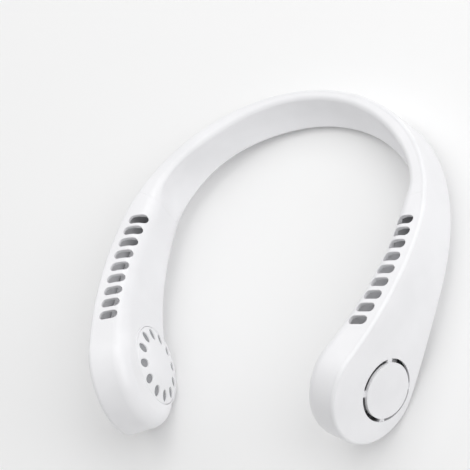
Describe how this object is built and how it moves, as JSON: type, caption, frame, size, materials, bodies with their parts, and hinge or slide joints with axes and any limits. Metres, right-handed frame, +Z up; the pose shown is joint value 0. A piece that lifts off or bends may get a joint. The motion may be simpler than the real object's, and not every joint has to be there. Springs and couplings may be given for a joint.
{
  "type": "bladeless neck fan",
  "caption": "Horseshoe neck fan in white plastic: slotted air outlets along both arms, and a small radial fan in each end behind a domed intake grille.",
  "frame": {"origin": "middle of the bounding box at its lowest level, between the arms", "axes": "+X to the right arm, +Y to the back of the arch, +Z up with the part lying on a table"},
  "size_m": [0.1908, 0.1997, 0.0608],
  "materials": {
    "white_shell": "smooth satin gloss",
    "grey_plastic": "moulded matte",
    "steel": "plain",
    "motor_can": "turned",
    "cell_wrap": "film wrap",
    "board": "solder mask",
    "switch_black": "moulded matte",
    "grey_button": "smooth satin",
    "clear_lens": "clear",
    "led": "resin"
  },
  "bodies": {
    "housing": {"outer_shell": "white_shell", "neck_pad": "white_shell", "inner_shell_left": "white_shell", "inner_shell_right": "white_shell", "main_board": "board", "board_screws": "steel", "usb_socket": "steel", "switch_body": "switch_black", "light_pipe": "clear_lens", "led_chip": "led", "intake_cap_left": "white_shell", "intake_grille_left": "white_shell", "motor_base_left": "grey_plastic", "motor_screws_left": "steel", "motor_left": "motor_can", "battery_left": "cell_wrap", "intake_cap_right": "white_shell", "intake_grille_right": "white_shell", "motor_base_right": "grey_plastic", "motor_screws_right": "steel", "motor_right": "motor_can", "battery_right": "cell_wrap"},
    "fan_left": {"impeller_left": "grey_plastic", "shaft_left": "steel"},
    "fan_right": {"impeller_right": "grey_plastic", "shaft_right": "steel"},
    "button": {"power_button": "grey_button", "switch_plunger": "switch_black"}
  },
  "joints": [
    {"name": "fan_left_spin", "type": "hinge", "parent": "housing", "child": "fan_left", "pos_m": [-0.07637, -0.06736, 0.02244], "axis": [0.9459, 0.315, -0.0772], "continuous": true},
    {"name": "fan_right_spin", "type": "hinge", "parent": "housing", "child": "fan_right", "pos_m": [0.07637, -0.06736, 0.02244], "axis": [-0.9459, 0.315, -0.0772], "continuous": true},
    {"name": "button_press", "type": "slide", "parent": "housing", "child": "button", "axis": [-0.0731, -0.1712, 0.9825], "range_m": [0, 0.0004], "stiffness_N_per_m": 400}
  ]
}
